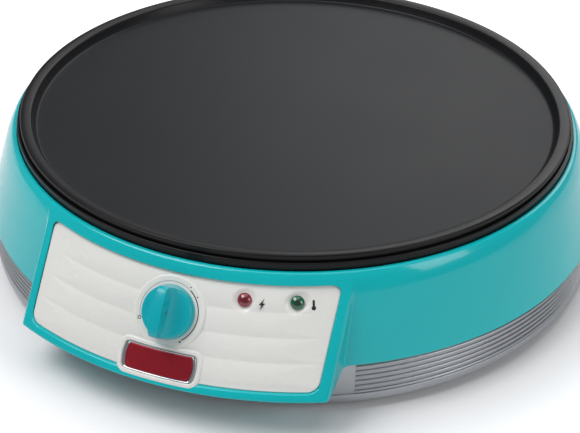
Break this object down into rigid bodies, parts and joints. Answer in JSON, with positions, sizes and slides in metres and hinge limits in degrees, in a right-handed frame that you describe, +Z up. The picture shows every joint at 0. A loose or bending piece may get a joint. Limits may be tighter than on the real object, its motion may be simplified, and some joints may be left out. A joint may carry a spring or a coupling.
{
  "type": "electric crepe maker",
  "caption": "Round countertop griddle with a shallow rimmed plate on a flared housing, a ribbed base band and a sloped control console with a knob and lamps.",
  "frame": {"origin": "on the plate's axis, at the level of the table that the four feet stand on", "axes": "+Z up along the plate's axis; the console and its knob face -Y; +X is the side with the lamps"},
  "size_m": [0.3366, 0.3572, 0.0799],
  "materials": {
    "plate_coating": "black non-stick coating on cast aluminium",
    "black_surround": "heat-proof black moulding",
    "turquoise_gloss": "glossy turquoise moulding",
    "cream_panel": "pearl cream moulding",
    "bright_frame": "bright bevelled frame",
    "red_inlay": "brushed red enamel, bare",
    "silver_band": "silver metallic moulding",
    "dark_base": "dark grey moulding",
    "foot_rubber": "black rubber",
    "steel": "plain steel",
    "element_tube": "annealed steel tube",
    "zinc_sheet": "zinc-plated steel",
    "reflector_sheet": "bright aluminised sheet",
    "turquoise_knob": "glossy turquoise moulding",
    "switch_case": "heat-proof pale moulding",
    "red_lens": "clear red lens",
    "green_lens": "clear green lens",
    "neon_glass": "clear glass",
    "lamp_sleeve": "black sleeve"
  },
  "bodies": {
    "cooker": {"crepe_plate": "plate_coating", "plate_surround": "black_surround", "upper_housing": "turquoise_gloss", "control_panel": "cream_panel", "badge_frame": "bright_frame", "badge_inlay": "red_inlay", "base_band": "silver_band", "bottom_cover": "dark_base", "rubber_feet": "foot_rubber", "case_screws": "steel", "heating_element": "element_tube", "element_clamps": "zinc_sheet", "clamp_screws": "steel", "plate_tabs": "zinc_sheet", "tab_screws": "steel", "heat_reflector": "reflector_sheet", "reflector_spacers": "zinc_sheet", "reflector_screws": "steel", "thermostat_body": "switch_case", "thermostat_bracket": "zinc_sheet", "bracket_screws": "steel", "power_lamp_lens": "red_lens", "ready_lamp_lens": "green_lens", "indicator_neons": "neon_glass", "lamp_holders": "lamp_sleeve", "cord_inlet_bush": "foot_rubber", "cord_clamp": "dark_base", "terminal_block": "switch_case", "thermal_fuse": "zinc_sheet", "fuse_clip": "zinc_sheet"},
    "knob": {"thermostat_knob": "turquoise_knob", "knob_spring_clip": "steel", "thermostat_shaft": "steel"}
  },
  "joints": [
    {"name": "knob_turn", "type": "hinge", "parent": "cooker", "child": "knob", "pos_m": [0, -0.16658, 0.0514], "axis": [0, -0.8229, 0.5682], "range_deg": [-145, 110]}
  ]
}
